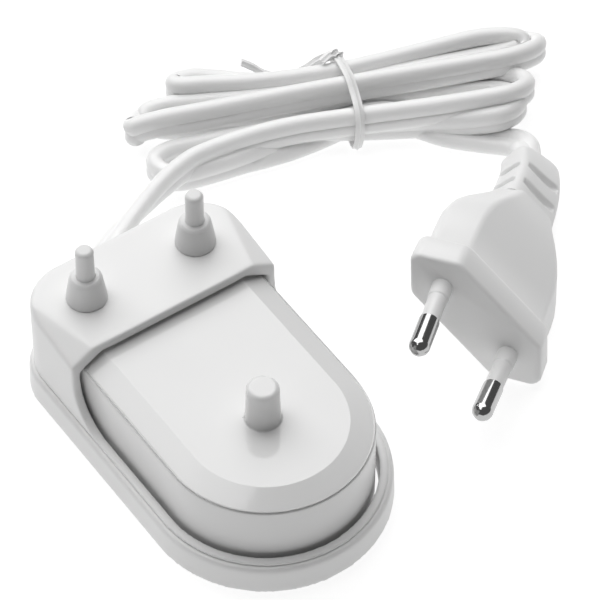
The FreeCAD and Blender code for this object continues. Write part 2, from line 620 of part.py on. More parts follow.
def make_plug_body():
    """Flange at the pins, a body that narrows to shoulders, hollow for the pin carrier."""
    body = new_body("plug_body")
    front = hexagon_at(body, "flange_front", "0", "plug_half - 0.5", "plug_flat - 0.2", "plug_thick - 0.8")
    mid = hexagon_at(body, "flange_middle", "0.6", "plug_half", "plug_flat", "plug_thick")
    back = hexagon_at(body, "flange_back", "flange_deep", "plug_half - 0.2", "plug_flat - 0.3", "plug_thick")
    loft(body, "AdditiveLoft", "flange", front, [mid, back])
    stations = [("flange_deep - 0.05", "plug_half - 2.2", "plug_flat - 1.2", "plug_thick - 2 * flange_step"),
                ("15.0", "plug_half - 2.3", "plug_flat - 1.3", "plug_thick - 2 * flange_step"),
                ("21.0", "plug_half - 4.0", "plug_flat - 2.1", "plug_thick - 2 * flange_step"),
                ("27.0", "plug_half - 7.3", "plug_flat - 4.6", "plug_thick - 2 * flange_step - 0.4"),
                ("body_deep", "plug_half - 11.2", "plug_flat - 7.4", "plug_thick - 2 * flange_step - 2.6")]
    rings = [hexagon_at(body, "body_station%d" % i, *station) for i, station in enumerate(stations)]
    loft(body, "AdditiveLoft", "shoulders", rings[0], rings[1:])
    room = new_sketch(body, "XY_Plane", "carrier_room", "-face_thick")
    polygon(room, carrier_corners)
    pocket(body, "carrier_hollow", room, "pin_root + carrier_back - face_thick", along_normal=False)
    return body


def make_plug_carrier():
    """The stiff bridge inside the moulding that holds both pins at their spacing."""
    body = new_body("plug_insert")
    bar = new_sketch(body, "XY_Plane", "carrier_bar", "-face_thick")
    polygon(bar, carrier_corners)
    feature = body.newObject("PartDesign::Pad", "carrier_block")
    feature.Profile = bar
    feature.Reversed = True
    feature.setExpression("Length", on_sheet("pin_root + carrier_back - face_thick"))
    doc.recompute()
    return body


lean = math.degrees(math.atan((size("pin_apart") - size("pin_tip_apart")) / 2 / size("pin_long")))


def pin_place(side):
    """Where a pin's axis leaves the face; the two lean towards each other at their tips."""
    return Placement(Vector(side * size("pin_apart") / 2, 0, 0), Rotation(Vector(0, 1, 0), -side * lean))


def turned(label, corners):
    body = new_body(label)
    profile = new_sketch(body, "XZ_Plane", label + "_profile")
    polygon(profile, corners)
    revolve(body, label + "_turned", profile)
    return body


def make_pin(label):
    """Metal pin: necked under its sleeve, domed at the tip."""
    tip = "pin_long"
    return turned(label, [("0", "-pin_root"), ("pin_radius", "-pin_root"), ("pin_radius", "-pin_root + 1.5"),
                          ("sleeve_core", "-pin_root + 1.5"), ("sleeve_core", "sleeve_long"),
                          ("pin_radius", "sleeve_long"), ("pin_radius", tip + " - 1.9"),
                          ("pin_radius - 0.18", tip + " - 1.2"), ("pin_radius - 0.75", tip + " - 0.45"),
                          ("pin_radius - 1.35", tip + " - 0.1"), ("0", tip)])


def make_sleeve(label):
    """Insulating sleeve with a thicker collar where it leaves the face."""
    return turned(label, [("sleeve_core", "-pin_root + 1.5"), ("collar_radius", "-pin_root + 1.5"),
                          ("collar_radius", "collar_long"), ("sleeve_radius", "collar_long + 0.25"),
                          ("sleeve_radius", "sleeve_long"), ("sleeve_core", "sleeve_long")])


def section_wire(place, wide, thick, round_by):
    """A rectangle with round corners in the plane of a placement."""
    face = Part.makePlane(wide, thick, Vector(-wide / 2, -thick / 2, 0))
    solid = face.extrude(Vector(0, 0, 1))
    upright = [edge for edge in solid.Edges if edge.BoundBox.ZLength > 0.5]
    rounded = solid.makeFillet(round_by, upright)
    base = [f for f in rounded.Faces if abs(f.CenterOfMass.z) < 1e-6][0]
    wire = base.OuterWire
    wire.Placement = place
    return wire


def boot_place(depth):
    """The strain relief curves level with the floor, away from the plug's own line."""
    start = size("body_deep")
    share = max(0.0, (depth - start) / size("boot_long"))
    angle = math.radians(size("boot_bend")) * share ** 2
    upward = plug_turn.inverted().multVec(Vector(0, 0, 1))
    along = Vector(0, 0, -1)
    side = upward.cross(along).normalize()
    point = Vector(0, 0, -start) + along * (depth - start)
    point += side * ((depth - start) * math.tan(angle) / 3)
    return Placement(point, Rotation(upward, math.degrees(angle)))


def make_boot():
    """Strain relief: a slim core with three thicker blocks, so that it flexes between them."""
    start, length = size("body_deep"), size("boot_long")
    wide, thick, corner = size("boot_wide"), size("boot_thick"), size("boot_round")

    def run(first, last, shrink):
        wires = []
        for step in range(4):
            depth = first + (last - first) * step / 3
            share = (depth - start) / length
            taper = 1 - 0.10 * share
            wires.append(section_wire(boot_place(depth), wide * taper - shrink, thick * taper - shrink, corner))
        return Part.makeLoft(wires, True, True)

    core = run(start, start + length, size("boot_core"))
    blocks = [run(start + a * length, start + b * length, 0.0) for a, b in [(0, 0.24), (0.34, 0.6), (0.7, 0.98)]]
    boot = core.multiFuse(blocks).removeSplitter()
    feature = doc.addObject("Part::Feature", "plug_strain_relief")
    feature.Shape = boot
    feature.Label = "plug_strain_relief"
    return feature


plug_shell = make_plug_body()
carrier = make_plug_carrier()
boot = make_boot()
doc.recompute()

# The plug lies on the floor on its sloping edge, so its height is the depth it hangs below its face centre.
resting = plug_shell.Shape.copy()
resting.Placement = Placement(Vector(0, 0, 0), plug_turn)
hang = resting.optimalBoundingBox().ZMin
boot_low = boot.Shape.copy()
boot_low.Placement = Placement(Vector(0, 0, 0), plug_turn)
hang = min(hang, boot_low.optimalBoundingBox().ZMin)
plug_at = Placement(Vector(size("plug_east"), size("plug_north"), -hang), plug_turn)

sockets = []
for side, word in [(-1, "left"), (1, "right")]:
    pin = make_pin("plug_pin_" + word)
    sleeve = make_sleeve("plug_sleeve_" + word)
    for thing in (pin, sleeve):
        thing.Placement = plug_at.multiply(pin_place(side))
        keep(thing)
    doc.recompute()
    stem = Part.makeCylinder(size("collar_radius"), size("pin_root") + 2, Vector(0, 0, -size("pin_root")))
    stem.Placement = pin_place(side)
    sockets.append(stem)


def feature_from(label, shape, place):
    feature = doc.addObject("Part::Feature", label)
    feature.Shape = shape
    feature.Label = label
    feature.Placement = place
    return keep(feature)


carrier_solid = carrier.Shape.cut(sockets[0]).cut(sockets[1])
carrier.Label = "carrier_blank"
feature_from("plug_insert", carrier_solid, plug_at)
plug_shell.Label = "plug_blank"
feature_from("plug_body", plug_shell.Shape.cut(sockets[0]).cut(sockets[1]), plug_at)
boot.Placement = plug_at
keep(boot)


# ---------------------------------------------------------------- cord
def cord_tube(label, points):
    """A tube whose round section has the area of the flat twin cord."""
    wide, thick = size("cord_wide"), size("cord_thick")
    area = math.pi * thick ** 2 / 4 + (wide - thick) * thick
    radius = math.sqrt(area / math.pi)
    path, radii = smooth_path(points)
    start = (points[1] - points[0]).normalize()
    ring = Part.Wire(Part.makeCircle(radius, points[0], start))
    tube = path.makePipeShell([ring], True, False)
    if tube.Volume < 0:
        tube.reverse()
    print(label, "length %.1f" % path.Length, "radii", [round(r, 1) for r in radii],
          "volume %.1f of %.1f" % (tube.Volume, math.pi * radius ** 2 * path.Length))
    feature_from(label, tube, Placement())
    return path.Length


def boot_point(along):
    """A point on the line that the cord leaves the strain relief by, and that line's heading."""
    end = plug_at.multiply(boot_place(size("body_deep + boot_long")))
    heading = end.Rotation.multVec(Vector(0, 0, -1))
    return end.Base + heading * along


gland_end = Vector(0, size("charger_rear + gland_long"), size("gland_high"))
lead_route = [gland_end] + [Vector(*point) for point in [
    (0.0, 42.6, 4.1), (2.4, 46.4, 4.0), (6.9, 49.6, 4.1), (12.2, 52.1, 4.3), (17.6, 54.0, 4.8), (23.0, 55.7, 5.4),
    (28.4, 56.9, 5.8)]]
tail_route = [Vector(81.5, 33.2, 2.6), Vector(85.4, 31.4, 2.6), Vector(88.2, 28.6, 3.3),
              boot_point(5.4), boot_point(0)]
cord_tube("cord_lead", lead_route)
cord_tube("cord_tail", tail_route)


def hank_ring(body, name, place, half, low, high, middle, cut="2.0"):
    """An eight-cornered section of the bundle; half is its half width about the middle."""
    ring = new_sketch(body, "YZ_Plane", name, place)
    near, far = "(%s) - (%s)" % (middle, half), "(%s) + (%s)" % (middle, half)
    polygon(ring, [(near + " + " + cut, low), (far + " - " + cut, low), (far, low + " + " + cut),
                   (far, high + " - " + cut), (far + " - " + cut, high), (near + " + " + cut, high),
                   (near, high + " - " + cut), (near, low + " + " + cut)])
    return ring


def hank_placement():
    turn = Rotation(Vector(0, 0, 1), size("hank_yaw"))
    return Placement(Vector(size("hank_east"), size("hank_north"), 0), turn)


def make_hank():
    """The folded cord as one closed solid of the bundle's outer shape, narrowed where the tie holds it."""
    body = new_body("cord_hank")
    waist_low = "2 * tie_thick"
    stations = [("-hank_left", "fan_half - 6.5", "0.05", "hank_high - 2.4", "1.0"),
                ("5 - hank_left", "fan_half", "0.05", "hank_high", "1.4"),
                ("-4", "waist_half", waist_low, "hank_high", "hank_middle"),
                ("4", "waist_half", waist_low, "hank_high", "hank_middle"),
                ("hank_right - 7", "fan_half + 0.6", "0.05", "hank_high", "1.4"),
                ("hank_right", "fan_half - 6", "0.05", "hank_high - 2.4", "5.0")]
    rings = [hank_ring(body, "hank_station%d" % i, *station) for i, station in enumerate(stations)]
    loft(body, "AdditiveLoft", "hank_bundle", rings[0], rings[1:])
    body.Placement = hank_placement()
    return keep(body)


def make_tie():
    """The twist tie drawn round the bundle's waist."""
    body = new_body("cord_tie")
    outer = hank_ring(body, "tie_outer", "-tie_wide / 2", "waist_half + tie_thick", "tie_thick",
                      "hank_high + tie_thick", "hank_middle", "2.0 + 0.3 * tie_thick")
    pad(body, "tie_band", outer, "tie_wide")
    inner = hank_ring(body, "tie_inner", "-tie_wide / 2 - 1", "waist_half", "2 * tie_thick", "hank_high",
                      "hank_middle")
    pocket(body, "tie_inside", inner, "tie_wide + 2")
    body.Placement = hank_placement()
    return keep(body)


make_tie()
make_gland()
make_wires()
make_hank()
doc.recompute()
print("pieces", len(pieces))

# ---------------------------------------------------------------- checks and export
doc.recompute()
for thing in doc.Objects:
    if "Invalid" in thing.State or "Error" in thing.State:
        raise RuntimeError("%s failed: %s" % (thing.Name, thing.State))
for piece in pieces:
    if piece.Shape.isNull() or not piece.Shape.isValid():
        raise RuntimeError(piece.Label + " has no valid shape")
os.makedirs("parts", exist_ok=True)
for piece in pieces:
    piece.Shape.exportStep("parts/%s.step" % piece.Label)
    print(piece.Label, "%.1f mm3" % piece.Shape.Volume, "solids", len(piece.Shape.Solids))
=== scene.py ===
import bpy
import bmesh
import json
import math
from mathutils import Matrix, Vector


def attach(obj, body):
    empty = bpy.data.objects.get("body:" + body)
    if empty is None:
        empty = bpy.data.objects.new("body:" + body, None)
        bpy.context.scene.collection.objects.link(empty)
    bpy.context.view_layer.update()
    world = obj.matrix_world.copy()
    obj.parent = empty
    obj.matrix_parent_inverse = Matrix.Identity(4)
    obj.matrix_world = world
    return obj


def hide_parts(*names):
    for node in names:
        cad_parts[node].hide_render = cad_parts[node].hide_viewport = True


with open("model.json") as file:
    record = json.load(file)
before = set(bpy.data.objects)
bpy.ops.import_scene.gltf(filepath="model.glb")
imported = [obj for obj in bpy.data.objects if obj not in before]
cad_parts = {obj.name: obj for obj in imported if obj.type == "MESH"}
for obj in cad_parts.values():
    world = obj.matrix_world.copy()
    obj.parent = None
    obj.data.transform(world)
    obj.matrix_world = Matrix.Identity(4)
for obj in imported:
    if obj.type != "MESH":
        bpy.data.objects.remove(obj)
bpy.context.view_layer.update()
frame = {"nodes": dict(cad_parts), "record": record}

nodes = frame["nodes"]
mounts = {mount["name"]: mount for mount in frame["record"]["mounts"]}
mm = 0.001
print("frame loaded:", len(nodes), "nodes")


# shader maths: a socket that takes part in expressions

class Wire:
    def __init__(self, tree, socket):
        self.tree = tree
        self.socket = socket

    def maths(self, operation, other, swapped=False):
        pair = (other, self) if swapped else (self, other)
        return self.tree.add("ShaderNodeMath", {"operation": operation}, {0: pair[0], 1: pair[1]})

    def __add__(self, other):
        return self.maths("ADD", other)

    def __radd__(self, other):
        return self.maths("ADD", other, True)

    def __sub__(self, other):
        return self.maths("SUBTRACT", other)

    def __rsub__(self, other):
        return self.maths("SUBTRACT", other, True)

    def __mul__(self, other):
        return self.maths("MULTIPLY", other)

    def __rmul__(self, other):
        return self.maths("MULTIPLY", other, True)


class ShaderTree:
    def __init__(self, name):
        self.material = bpy.data.materials.new(name)
        self.material.use_nodes = True
        self.tree = self.material.node_tree
        self.shader = self.tree.nodes["Principled BSDF"]

    def add(self, kind, settings=None, sockets=None, out=0):
        node = self.tree.nodes.new(kind)
        for key, value in (settings or {}).items():
            setattr(node, key, value)
        for key, value in (sockets or {}).items():
            self.plug(node.inputs[key], value)
        return Wire(self, node.outputs[out])

    def plug(self, socket, value):
        if isinstance(value, Wire):
            self.tree.links.new(value.socket, socket)
        else:
            socket.default_value = value

    def surface(self, **sockets):
        for key, value in sockets.items():
            self.plug(self.shader.inputs[key.replace("_", " ")], value)
        return self.material

    def place(self):
        return self.add("ShaderNodeTexCoord", out="Object")

    def noise(self, place, scale, detail=2.0, roughness=0.5):
        return self.add("ShaderNodeTexNoise", None,
                        {"Vector": place, "Scale": scale, "Detail": detail, "Roughness": roughness})

    def blend(self, mask, first, second):
        node = self.tree.nodes.new("ShaderNodeMix")
        node.data_type = "RGBA"
        for index, value in ((0, mask), (6, first), (7, second)):
            self.plug(node.inputs[index], value)
        return Wire(self, node.outputs[2])

    def bump(self, height, distance, strength=1.0):
        return self.add("ShaderNodeBump", None, {"Height": height, "Distance": distance, "Strength": strength})


def grey(tone, warm=0.0):
    return (tone + warm, tone + warm * 0.5, tone - warm, 1)


# mesh helpers

def makeMesh(name, points, faces, material=None):
    mesh = bpy.data.meshes.new(name)
    mesh.from_pydata([tuple(point) for point in points], [], faces)
    mesh.update()
    made = bpy.data.objects.new(name, mesh)
    bpy.context.scene.collection.objects.link(made)
    if material:
        mesh.materials.append(material)
    return made


def baked(made, sharp=30):
    made.data.shade_smooth()
    made.data.set_sharp_from_angle(angle=math.radians(sharp))
    graph = bpy.context.evaluated_depsgraph_get()
    mesh = bpy.data.meshes.new_from_object(made.evaluated_get(graph))
    made.modifiers.clear()
    made.data = mesh
    return made


def settle(made, body, slot, *replaced):
    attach(made, body)
    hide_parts(*replaced)
    return made


def outward(made):
    shape = bmesh.new()
    shape.from_mesh(made.data)
    bmesh.ops.recalc_face_normals(shape, faces=shape.faces)
    shape.to_mesh(made.data)
    shape.free()
    return made


def lofted(name, rings, material, closed=False):
    count = len(rings[0])
    points = [point for ring in rings for point in ring]
    faces = []
    pairs = len(rings) if closed else len(rings) - 1
    for row in range(pairs):
        here, there = row * count, (row + 1) % len(rings) * count
        for k in range(count):
            after = (k + 1) % count
            faces.append((here + k, here + after, there + after, there + k))
    if not closed:
        faces.append(tuple(reversed(range(count))))
        faces.append(tuple(range(len(points) - count, len(points))))
    return outward(makeMesh(name, points, faces, material))


# a curve's own points, read from a NURBS spline through its control points
def curveThrough(name, controls, resolution, cyclic=False):
    data = bpy.data.curves.new(name, "CURVE")
    data.dimensions = "3D"
    data.resolution_u = resolution
    spline = data.splines.new("NURBS")
    spline.points.add(len(controls) - 1)
    for point, control in zip(spline.points, controls):
        point.co = (*control, 1)
    spline.use_cyclic_u = cyclic
    spline.order_u = 3
    spline.use_endpoint_u = not cyclic
    made = bpy.data.objects.new(name, data)
    bpy.context.scene.collection.objects.link(made)
    graph = bpy.context.evaluated_depsgraph_get()
    mesh = bpy.data.meshes.new_from_object(made.evaluated_get(graph))
    line = [vertex.co.copy() for vertex in mesh.vertices]
    bpy.data.meshes.remove(mesh)
    bpy.data.objects.remove(made)
    bpy.data.curves.remove(data)
    return line


# sweeps a section (x along the wide direction, y across it) along a line whose width is given by its edge line
def swept(name, line, edge, section, material, closed=False):
    rings = []
    last = len(line) - 1
    for k, point in enumerate(line):
        if closed:
            before, after = line[k - 1], line[(k + 1) % len(line)]
        else:
            before, after = line[max(k - 1, 0)], line[min(k + 1, last)]
        heading = (after - before).normalized()
        wide = edge[k] - point
        wide = (wide - heading * wide.dot(heading)).normalized()
        deep = heading.cross(wide)
        rings.append([point + wide * x + deep * y for x, y in section(k)])
    return lofted(name, rings, material, closed)


# a copy of a CAD node with its split vertices merged, its import normals dropped and its flats made whole
def mergedCopy(node, flat=0.5):
    made = bpy.data.objects.new(node + "_skin", nodes[node].data.copy())
    bpy.context.scene.collection.objects.link(made)
    shape = bmesh.new()
    shape.from_mesh(made.data)
    bmesh.ops.remove_doubles(shape, verts=shape.verts, dist=2e-6)
    bmesh.ops.dissolve_limit(shape, angle_limit=math.radians(flat), verts=shape.verts, edges=shape.edges)
    shape.to_mesh(made.data)
    shape.free()
    if "custom_normal" in made.data.attributes:
        made.data.attributes.remove(made.data.attributes["custom_normal"])
    return made


def softened(node, width, material, slot, body, bend=26):
    made = mergedCopy(node)
    bevel = made.modifiers.new("rounded", "BEVEL")
    bevel.width = width
    bevel.segments = 3
    bevel.limit_method = "ANGLE"
    bevel.angle_limit = math.radians(bend)
    bevel.use_clamp_overlap = False
    weighted = made.modifiers.new("flats", "WEIGHTED_NORMAL")
    weighted.keep_sharp = True
    baked(made, 179)
    made.data.materials.clear()
    made.data.materials.append(material)
    return settle(made, body, slot, node)


# a shell whose every edge is blended: an even grid drawn over the node, relaxed most where the facets meet
def blended(node, grid, rounds, material, slot, body, wide):
    made = mergedCopy(node)
    even = made.modifiers.new("even_grid", "REMESH")
    even.mode = "VOXEL"
    even.voxel_size = grid
    graph = bpy.context.evaluated_depsgraph_get()
    mesh = bpy.data.meshes.new_from_object(made.evaluated_get(graph))
    made.modifiers.clear()
    made.data = mesh
    zones = made.vertex_groups.new(name="wide_blend")
    for vertex in mesh.vertices:
        share = wide(vertex.co)
        if share > 0:
            zones.add([vertex.index], share, "REPLACE")
    narrow, broad = rounds
    for name, times, group in (("edges", narrow, ""), ("facets", broad, "wide_blend"), ("polish", narrow, "")):
        relax = made.modifiers.new(name, "SMOOTH")
        relax.factor = 0.5
        relax.iterations = times
        relax.vertex_group = group
    baked(made, 179)
    made.data.materials.clear()
    made.data.materials.append(material)
    return settle(made, body, slot, node)


# materials

def mouldedPlastic(name, tone, gloss, grain, grainDepth, coat=0.0, warm=0.002):
    tree = ShaderTree(name)
    place = tree.place()
    cloud = tree.noise(place, 45.0, 3.0)
    smear = tree.noise(place, 160.0, 5.0, 0.65)
    spark = tree.noise(place, grain, 2.0, 0.6)
    colour = tree.blend(cloud, grey(tone * 0.985, warm), grey(tone, warm * 0.3))
    rough = gloss + 0.20 * gloss * (smear - 0.5) + 0.03 * (cloud - 0.5)
    return tree.surface(Base_Color=colour, Roughness=rough, Normal=tree.bump(spark, grainDepth, 0.6),
                        Coat_Weight=coat, Coat_Roughness=0.06, IOR=1.5)


def plainMetal(name, tone, gloss, scratch):
    tree = ShaderTree(name)
    place = tree.place()
    smear = tree.noise(place, 900.0, 4.0, 0.6)
    colour = tree.blend(smear, grey(tone * 0.9), grey(tone))
    return tree.surface(Base_Color=colour, Metallic=1.0, Roughness=gloss + scratch * (smear - 0.5))


def tinted(name, colour, gloss, variation=0.2, scale=700.0, metal=0.0):
    tree = ShaderTree(name)
    cloud = tree.noise(tree.place(), scale, 3.0)
    dark = tuple(c * (1 - variation) for c in colour) + (1,)
    return tree.surface(Base_Color=tree.blend(cloud, dark, tuple(colour) + (1,)), Metallic=metal,
                        Roughness=gloss + 0.15 * (cloud - 0.5))


finishes = {
    "charger_gloss": {"tone": 0.74, "gloss": 0.11, "grain": 2500.0, "grainDepth": 0.000002, "coat": 0.25},
    "charger_satin": {"tone": 0.74, "gloss": 0.24, "grain": 2500.0, "grainDepth": 0.000006},
    "holder_satin": {"tone": 0.80, "gloss": 0.36, "grain": 2200.0, "grainDepth": 0.000012},
    # the posts are the holder's own white plastic, set darker here: painted shade for their upright faces
    "post_satin": {"tone": 0.72, "gloss": 0.30, "grain": 2200.0, "grainDepth": 0.000006},
    "plug_vinyl": {"tone": 0.80, "gloss": 0.34, "grain": 1800.0, "grainDepth": 0.000010},
    "cord_vinyl": {"tone": 0.86, "gloss": 0.32, "grain": 1500.0, "grainDepth": 0.000012},
    "tie_vinyl": {"tone": 0.86, "gloss": 0.40, "grain": 1500.0, "grainDepth": 0.000010},
    "sleeve_plastic": {"tone": 0.74, "gloss": 0.30, "grain": 2200.0, "grainDepth": 0.000005},
}
plastics = {name: mouldedPlastic(name, **finish) for name, finish in finishes.items()}
chargerSatin, holderSatin = plastics["charger_satin"], plastics["holder_satin"]
plugVinyl, cordVinyl, tieVinyl = plastics["plug_vinyl"], plastics["cord_vinyl"], plastics["tie_vinyl"]
pinMetal = plainMetal("pin_metal", tone=0.50, gloss=0.13, scratch=0.06)
print("materials made")


# cord: one flat twin cord from the gland to the plug's boot

cordSizes = {
    "wide": 6.0 * mm,
    "thick": 3.5 * mm,
    "grooveShare": 0.5,  # depth of the groove, as a share of what two full rounds would leave
    "sharp": 60,
    "resolution": 6,
    "foldSteps": 7,
}
cordWide, cordThick = cordSizes["wide"], cordSizes["thick"]
glandEnd = Vector((0, 38.2, 4.1))
leadRoute = [(0.0, 42.6, 4.1), (2.4, 46.4, 4.0), (6.9, 49.6, 4.1), (12.2, 52.1, 4.3), (17.6, 54.0, 4.8),
             (23.0, 55.7, 5.4), (28.4, 56.9, 5.8)]
leadLeans = [172, 162, 146, 128, 108, 92, 84]

# hank's own frame: along it, across it, up
hankSizes = {"yaw": -23.5, "at": Vector((64, 52, 0))}
hankYaw, hankAt = math.radians(hankSizes["yaw"]), hankSizes["at"]
hankAlong = Vector((math.cos(hankYaw), math.sin(hankYaw), 0))
hankAcross = Vector((-hankAlong.y, hankAlong.x, 0))
upward = Vector((0, 0, 1))

# each pass: stations (along, across, height, lean in degrees), then the apex of the fold after it
hankPasses = [
    ([(-30, -7.3, 6.0, 79), (-15, -3.9, 6.0, 75), (0, -3.9, 6.1, 75), (15, -5.3, 7.2, 76), (28, -6.5, 8.8, 76)],
     (36.4, -1.5, 6.5)),
    ([(28, 5.0, 3.4, 90), (15, 6.3, 2.9, 90), (0, 6.3, 2.75, 90), (-15, 7.5, 2.8, 90), (-30, 9.3, 2.75, 90)],
     (-42.3, 2.0, 5.5)),
    ([(-30, 1.4, 7.9, 75), (-15, 2.0, 8.4, 80), (0, 2.8, 8.4, 80), (15, 3.2, 8.4, 80), (28, 3.6, 8.5, 82)],
     (41.3, 9.0, 6.0)),
    ([(28, 13.0, 4.6, 90), (15, 10.6, 3.0, 90), (0, 9.3, 2.8, 90), (-15, 10.6, 4.2, 90), (-28, 12.2, 7.0, 90)],
     (-32.5, 10.5, 7.6)),
    ([(-28, 8.8, 8.1, 90), (-15, 7.0, 8.1, 90), (0, 7.0, 8.1, 90), (15, 9.0, 8.1, 90), (28, 10.9, 8.2, 90)],
     (37.8, 9.6, 7.0)),
    ([(28, 8.0, 5.6, 90), (15, 6.4, 6.4, 90), (0, 5.0, 6.4, 90), (-15, 5.0, 6.2, 90), (-33, 7.0, 5.6, 90)],
     (-39.0, 6.0, 5.0)),
    ([(-30, 4.0, 2.75, 90), (-15, 3.3, 2.75, 90), (0, 3.3, 2.75, 90), (15, 3.0, 2.75, 90), (28, 1.5, 2.75, 90)],
     (34.2, -4.2, 5.0)),
    ([(28, -9.0, 6.3, 90), (21, -7.4, 4.7, 88), (14, -4.7, 3.1, 88), (4, -3.4, 3.1, 88), (-6, -3.4, 5.0, 86),
      (-15, -1.8, 3.4, 85), (-32, -2.2, 3.0, 88)],
     (-39.3, -5.6, 3.0)),
    ([(-34, -9.6, 2.9, 90), (-28, -8.6, 2.8, 88), (-21, -7.0, 2.8, 82), (-14, -5.2, 2.2, 40), (-7, -3.0, 1.8, 0),
      (0, -0.6, 2.2, 40), (6, 0.0, 2.8, 80), (11, -1.4, 2.4, 40), (15, -4.2, 1.8, 0), (19, -7.1, 1.8, 0),
      (24, -9.2, 1.8, 0), (28.5, -10.9, 1.8, 0)], None),
]

plugSizes = {
    "mountReach": 13.55 * mm,  # how far before the face the pins' own mounts stand
    "bodyDeep": 33.0 * mm,
    "bootLong": 15.6 * mm,
    "bootBend": 22.0,
    "endHalf": 0.9,
    "sharp": 38,
}
plugMounts = [mounts["plug_pin_left_tip"], mounts["plug_pin_right_tip"]]
plugOut = sum((Vector(mount["axis"]) for mount in plugMounts), Vector()).normalized()
plugAcross = Vector(plugMounts[1]["pos_m"]) - Vector(plugMounts[0]["pos_m"])
plugAcross = (plugAcross - plugOut * plugAcross.dot(plugOut)).normalized()
plugThrough = plugOut.cross(plugAcross)
betweenPins = (Vector(plugMounts[0]["pos_m"]) + Vector(plugMounts[1]["pos_m"])) / 2
plugFace = betweenPins - plugOut * plugSizes["mountReach"]
bodyDeep, bootLong = plugSizes["bodyDeep"], plugSizes["bootLong"]
bootBend = math.radians(plugSizes["bootBend"])
bootSide = upward.cross(-plugOut).normalized()


# place, across and through vectors of the boot's section at a depth behind the plug's face
def bootFrame(depth):
    beyond = max(0.0, depth - bodyDeep)
    angle = bootBend * (beyond / bootLong) ** 2
    place = plugFace - plugOut * depth + bootSide * (beyond * math.tan(angle) / 3)
    turn = Matrix.Rotation(angle, 3, upward)
    return place, turn @ plugAcross, turn @ plugThrough, turn @ -plugOut


def hankPoint(along, across, high):
    return hankAt + hankAlong * along + hankAcross * across + upward * high


def leaning(flat, degrees):
    return flat * math.cos(math.radians(degrees)) + upward * math.sin(math.radians(degrees))


# stations round a fold, from one pass's last station to the next one's first
def fold(first, apex, second):
    stations = []
    steps = cordSizes["foldSteps"]
    for step in range(1, steps + 1):
        turn = math.pi * step / (steps + 1)
        near = first if step <= steps // 2 + 1 else second
        reach = abs(math.cos(turn))
        along = near[0] + (apex[0] - near[0]) * math.sin(turn)
        across, high = (apex[k] + (near[k] - apex[k]) * reach for k in (1, 2))
        stations.append((along, across, high, 90 + (near[3] - 90) * reach ** 3))
    return stations


controls = [glandEnd]
widths = [Vector((1, 0, 0))]
for k, point in enumerate(leadRoute):
    here = Vector(point)
    ahead = Vector(leadRoute[k + 1]) if k + 1 < len(leadRoute) else hankPoint(*hankPasses[0][0][0][:3])
    flat = upward.cross(ahead - controls[-1]).normalized()
    controls.append(here)
    widths.append(leaning(flat, leadLeans[k]))
for k, (stations, apex) in enumerate(hankPasses):
    if apex:
        stations = stations + fold(stations[-1], apex, hankPasses[k + 1][0][0])
    for along, across, high, lean in stations:
        clear = ((cordWide - cordThick) * math.sin(math.radians(lean)) + cordThick) / 2 / mm
        controls.append(hankPoint(along, across, max(high, clear)))
        widths.append(leaning(hankAcross, lean))
bootEnd, bootAcross, bootThrough, bootHeading = bootFrame(bodyDeep + bootLong)
bootWide = bootAcross if bootAcross.dot(upward.cross(-bootHeading)) > 0 else -bootAcross
tail = [(hankPoint(31.6, -12.0, 2.2), 10), (hankPoint(33.0, -14.4, 3.3), 22)]
for point, lean in tail:
    flat = upward.cross(point - controls[-1]).normalized()
    controls.append(point)
    widths.append(leaning(flat, lean))
bootGaps = [(4.4, 0.7), (0.0, 1.0), (-2.0, 1.0)]  # how far before the boot's end, share of the boot's own lean
for gap, share in bootGaps:
    controls.append(bootEnd / mm + bootHeading * gap)
    widths.append((widths[-1] * (1 - share) + bootWide * share).normalized())

edges = [(point + wide) * mm for point, wide in zip(controls, widths)]
centreLine = curveThrough("cord_line", [point * mm for point in controls], cordSizes["resolution"])
edgeLine = curveThrough("cord_edge", edges, cordSizes["resolution"])


coreOffset = (cordWide - cordThick) / 2
grooveTurn = math.acos(coreOffset / (cordThick / 2))


# two round cores side by side, joined along a groove
def twinSection(k, steps=11):
    ring = []
    for side in (1, -1):
        for step in range(steps):
            turn = (math.pi - grooveTurn) * (2 * step / (steps - 1) - 1)
            x, y = cordThick / 2 * math.cos(turn), cordThick / 2 * math.sin(turn)
            if x < 0:
                y = math.copysign(cordThick / 2 - cordSizes["grooveShare"] * (cordThick / 2 - abs(y)), y)
            ring.append((side * (coreOffset + x), side * y))
    return ring


cord = baked(swept("mains_cord", centreLine, edgeLine, twinSection, cordVinyl), cordSizes["sharp"])
settle(cord, "charger", "cord_vinyl", "cord_lead", "cord_hank", "cord_tail")


# twist tie: a band round the waist with a wire in its middle, a twisted knot and two loose tails

tieSizes = {"wide": 1.9 * mm, "thick": 0.45 * mm, "knotTurn": 360, "resolution": 8, "sharp": 50}


def tieSection(k):
    half, thin = tieSizes["wide"] / 2, tieSizes["thick"] / 2
    upper = [(half, 0), (half * 0.9, thin * 0.8), (half * 0.4, thin), (half * 0.22, thin * 1.9), (0, thin * 2.4),
             (-half * 0.22, thin * 1.9), (-half * 0.4, thin), (-half * 0.9, thin * 0.8), (-half, 0)]
    return upper + [(x, -y) for x, y in reversed(upper[1:-1])]


def tieStrip(name, points, towards, closed):
    controls = [hankPoint(*point) * mm for point in points]
    line = curveThrough(name + "_line", controls, tieSizes["resolution"], closed)
    edge = [point + towards(k / len(line)) * mm for k, point in enumerate(line)]
    return swept(name, line, edge, tieSection, tieVinyl, closed)


